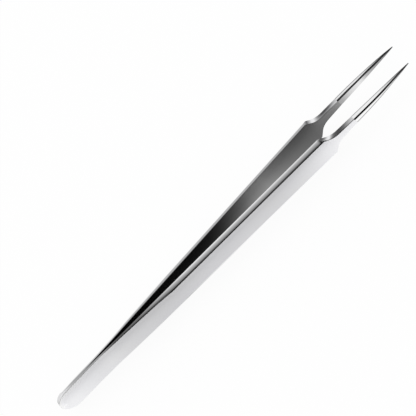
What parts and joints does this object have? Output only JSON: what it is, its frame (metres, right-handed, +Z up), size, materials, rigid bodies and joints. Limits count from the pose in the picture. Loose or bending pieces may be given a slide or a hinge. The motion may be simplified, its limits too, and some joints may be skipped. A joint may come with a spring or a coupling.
{
  "type": "fine-point tweezers",
  "caption": "Straight steel tweezers with very fine ground points. The arms are welded together at the rounded heel and spring apart.",
  "frame": {"origin": "on the bench, under the middle of the tweezers as they lie on their lower edges", "axes": "+X runs from the heel to the points, +Y runs across the gap from the right arm to the left arm, +Z is up across the arms' width"},
  "size_m": [0.14, 0.0098, 0.01],
  "materials": {
    "steel": "satin ground stainless steel, with polished edges, necks and points"
  },
  "bodies": {
    "heel": {"heel": "steel"},
    "left_arm": {"left_arm": "steel"},
    "right_arm": {"right_arm": "steel"}
  },
  "joints": [
    {"name": "left_arm_flex", "type": "hinge", "parent": "heel", "child": "left_arm", "pos_m": [-0.0565, 0, 0.00447], "axis": [0.0056, 0, -1], "range_deg": [0, 1.71], "stiffness_Nm_per_rad": 1.6},
    {"name": "right_arm_flex", "type": "hinge", "parent": "heel", "child": "right_arm", "pos_m": [-0.0565, 0, 0.00447], "axis": [-0.0056, 0, 1], "range_deg": [0, 1.71], "stiffness_Nm_per_rad": 1.6}
  ]
}
